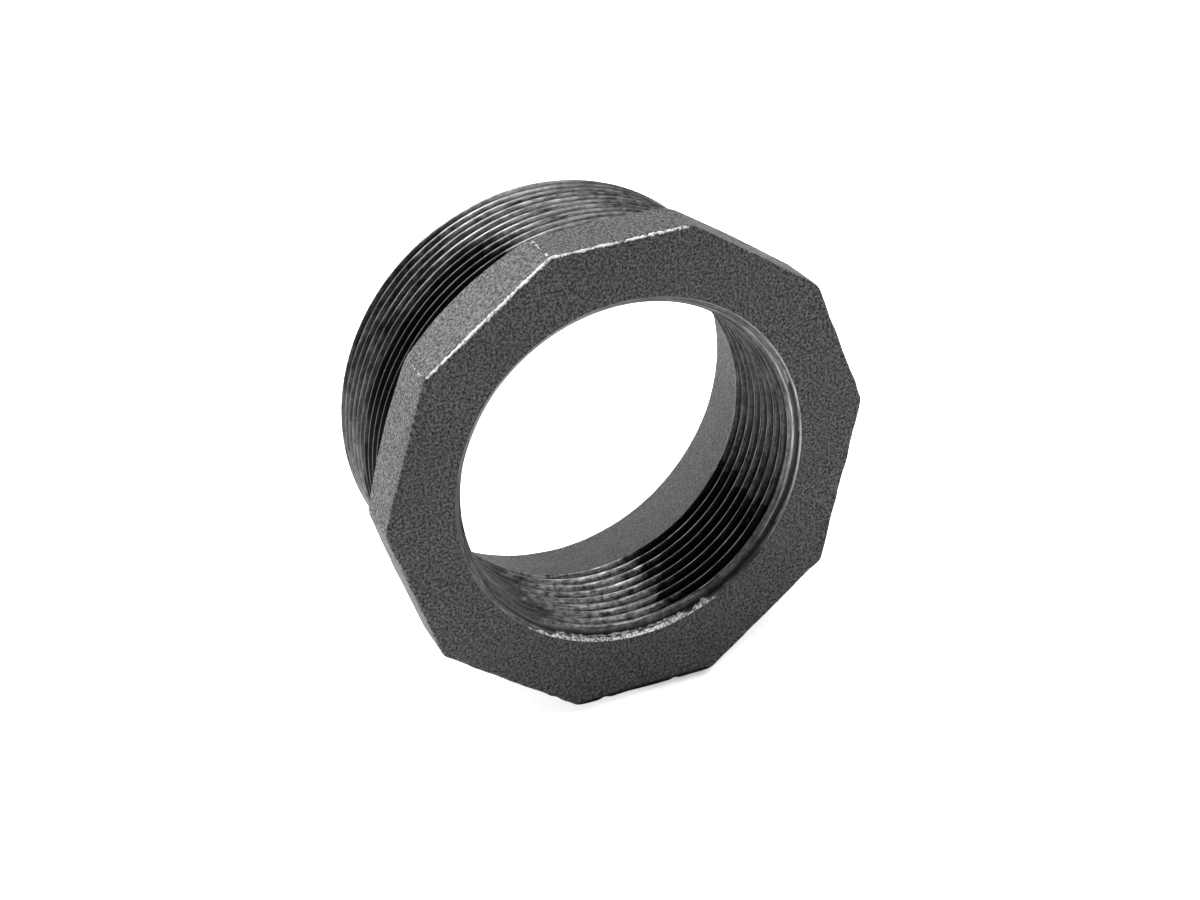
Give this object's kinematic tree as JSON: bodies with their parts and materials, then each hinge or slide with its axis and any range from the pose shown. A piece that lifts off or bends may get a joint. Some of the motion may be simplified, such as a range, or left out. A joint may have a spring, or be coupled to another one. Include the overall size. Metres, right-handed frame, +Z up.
{
  "type": "reducing bushing",
  "caption": "Cast iron reducing bushing: a many-sided wrench head with an internal pipe thread, and an external taper pipe thread on the hollow shank behind it.",
  "frame": {"origin": "where the axis of the threads meets the front face of the head", "axes": "+Y along the axis of the threads towards the end of the shank, +Z up, with one flat of the head facing down"},
  "size_m": [0.084, 0.038, 0.08],
  "materials": {
    "black_iron": "sand-cast skin left black, with both threads cut bright and since darkened"
  },
  "bodies": {
    "root": {"bushing_body": "black_iron"}
  },
  "joints": []
}
